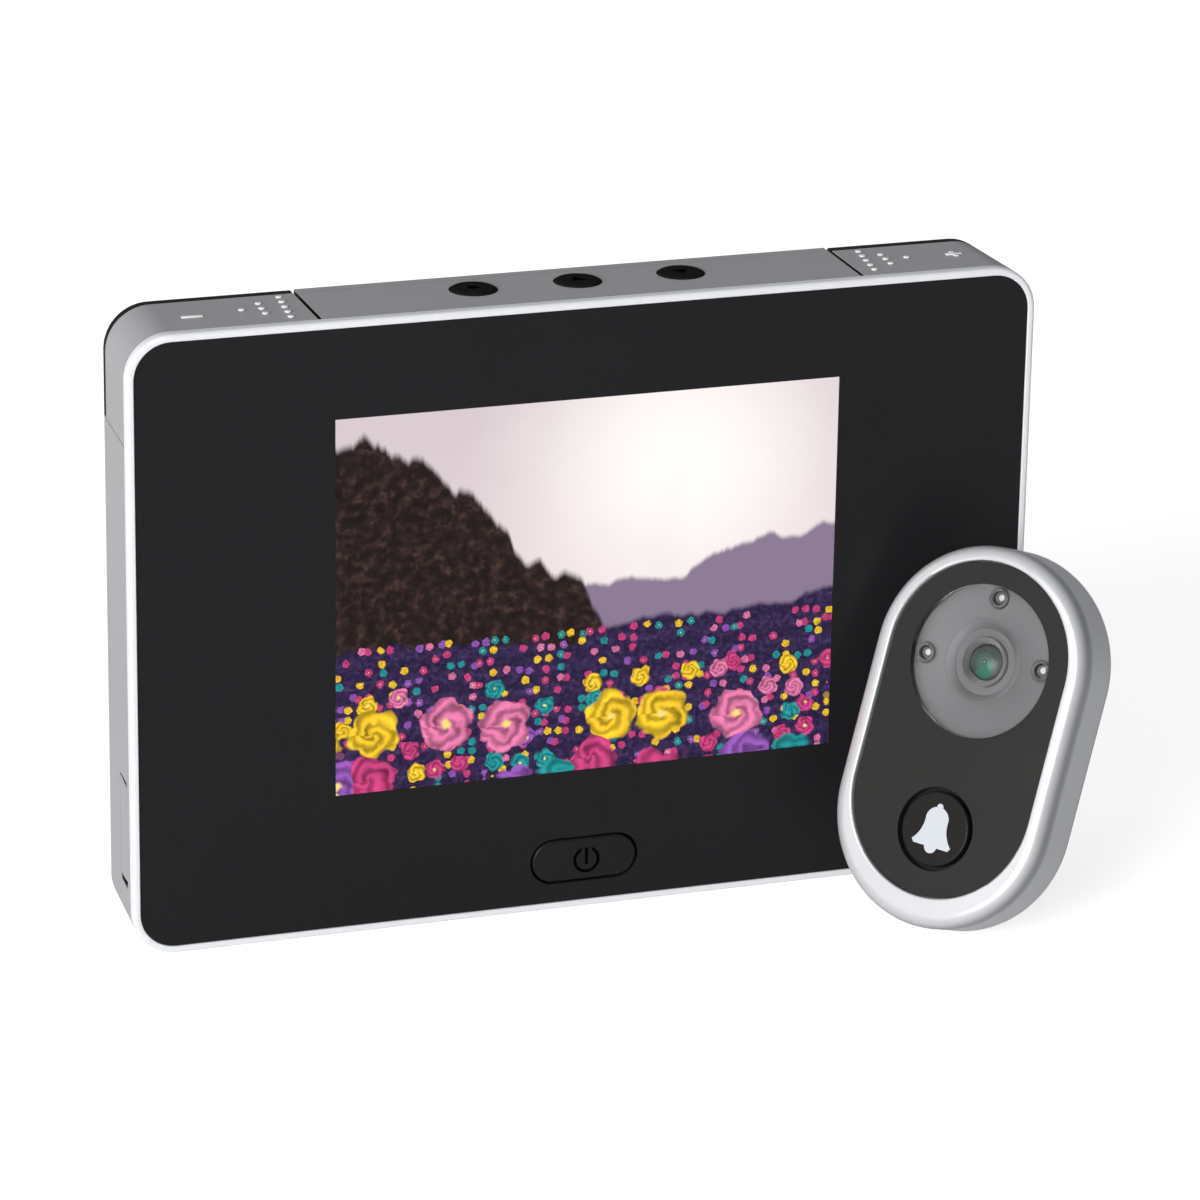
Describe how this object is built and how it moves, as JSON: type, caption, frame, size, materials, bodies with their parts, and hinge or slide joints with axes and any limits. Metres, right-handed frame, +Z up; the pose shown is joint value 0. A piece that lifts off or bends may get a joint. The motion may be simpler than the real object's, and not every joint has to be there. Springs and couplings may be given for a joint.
{
  "type": "peephole door camera",
  "caption": "Indoor screen unit with sliding battery caps and keys on top, and a rounded outdoor camera and bell unit leaning before it.",
  "frame": {"origin": "middle of the monitor's flat base, at half its width and half its depth", "axes": "+X to the viewer's right along the monitor's width, +Y from the screen to the back, +Z up"},
  "size_m": [0.129, 0.0508, 0.0863],
  "materials": {
    "silver_paint": "satin silver lacquer",
    "grey_paint": "satin grey lacquer",
    "black_panel": "black printed panel",
    "screen_clear": "clear window",
    "lcd_glass": "screen",
    "backlight_white": "white frame",
    "black_plastic": "fine grained black",
    "black_rubber": "soft black",
    "board_green": "circuit board",
    "ribbon_film": "amber film",
    "connector_ivory": "ivory",
    "bright_steel": "plated",
    "cell_jacket": "plain jacket",
    "insert_brass": "turned",
    "window_smoke": "faint smoke",
    "baffle_grey": "matt grey",
    "lens_glass": "coated glass",
    "lamp_clear": "clear dome",
    "symbol_white": "white insert"
  },
  "bodies": {
    "monitor": {"board_screws": "bright_steel", "camera_socket": "black_plastic", "card_socket": "black_plastic", "case_screws": "bright_steel", "front_bezel": "silver_paint", "front_panel": "black_panel", "key_board": "board_green", "lcd_backlight": "backlight_white", "lcd_panel": "lcd_glass", "lcd_ribbon": "ribbon_film", "left_bay_contact": "bright_steel", "left_inner_cell": "cell_jacket", "left_key_switch": "black_plastic", "left_outer_cell": "cell_jacket", "main_board": "board_green", "mid_housing": "grey_paint", "middle_key_switch": "black_plastic", "port_pin": "bright_steel", "power_switch": "black_plastic", "processor_shield": "bright_steel", "rear_cover": "black_plastic", "ribbon_connector": "connector_ivory", "right_bay_contact": "bright_steel", "right_inner_cell": "cell_jacket", "right_key_switch": "black_plastic", "right_outer_cell": "cell_jacket", "screen_window": "screen_clear", "speaker": "black_plastic"},
    "power_button": {"power_button": "black_panel"},
    "left_key": {"left_key": "black_rubber"},
    "middle_key": {"middle_key": "black_rubber"},
    "right_key": {"right_key": "black_rubber"},
    "left_cap": {"left_battery_cap": "grey_paint", "left_cap_contact": "bright_steel"},
    "right_cap": {"right_battery_cap": "grey_paint", "right_cap_contact": "bright_steel"},
    "port_cover": {"port_cover": "grey_paint"},
    "outdoor_unit": {"unit_shell": "silver_paint", "unit_panel": "black_panel", "camera_window": "window_smoke", "window_baffle": "baffle_grey", "unit_board": "board_green", "image_sensor": "black_plastic", "lens_holder": "black_plastic", "lens_barrel": "black_plastic", "lens": "lens_glass", "left_lamp": "lamp_clear", "top_lamp": "lamp_clear", "right_lamp": "lamp_clear", "bell_switch": "black_plastic", "unit_back": "silver_paint", "threaded_insert": "insert_brass", "unit_seal": "black_rubber", "unit_screws": "bright_steel"},
    "bell_button": {"bell_button": "black_panel", "bell_symbol": "symbol_white"}
  },
  "joints": [
    {"name": "power_button_press", "type": "slide", "parent": "monitor", "child": "power_button", "axis": [0, 1, 0], "range_m": [0, 0.0005], "stiffness_N_per_m": 400, "springref_m": -0.001},
    {"name": "left_key_press", "type": "slide", "parent": "monitor", "child": "left_key", "axis": [0, 0, -1], "range_m": [0, 0.0005], "stiffness_N_per_m": 400, "springref_m": -0.001},
    {"name": "middle_key_press", "type": "slide", "parent": "monitor", "child": "middle_key", "axis": [0, 0, -1], "range_m": [0, 0.0005], "stiffness_N_per_m": 400, "springref_m": -0.001},
    {"name": "right_key_press", "type": "slide", "parent": "monitor", "child": "right_key", "axis": [0, 0, -1], "range_m": [0, 0.0005], "stiffness_N_per_m": 400, "springref_m": -0.001},
    {"name": "left_cap_slide", "type": "slide", "parent": "monitor", "child": "left_cap", "axis": [-1, 0, 0], "range_m": [0, 0.026]},
    {"name": "right_cap_slide", "type": "slide", "parent": "monitor", "child": "right_cap", "axis": [1, 0, 0], "range_m": [0, 0.026]},
    {"name": "port_cover_swing", "type": "hinge", "parent": "monitor", "child": "port_cover", "pos_m": [-0.06178, -0.0025, 0.0226], "axis": [0, 1, 0], "range_deg": [0, 90]},
    {"name": "outdoor_unit_lift", "type": "slide", "parent": "monitor", "child": "outdoor_unit", "axis": [0, 0, 1], "range_m": [0, 0.1]},
    {"name": "bell_press", "type": "slide", "parent": "outdoor_unit", "child": "bell_button", "axis": [0.7407, 0.5683, -0.3584], "range_m": [0, 0.0005], "stiffness_N_per_m": 400, "springref_m": -0.001}
  ]
}
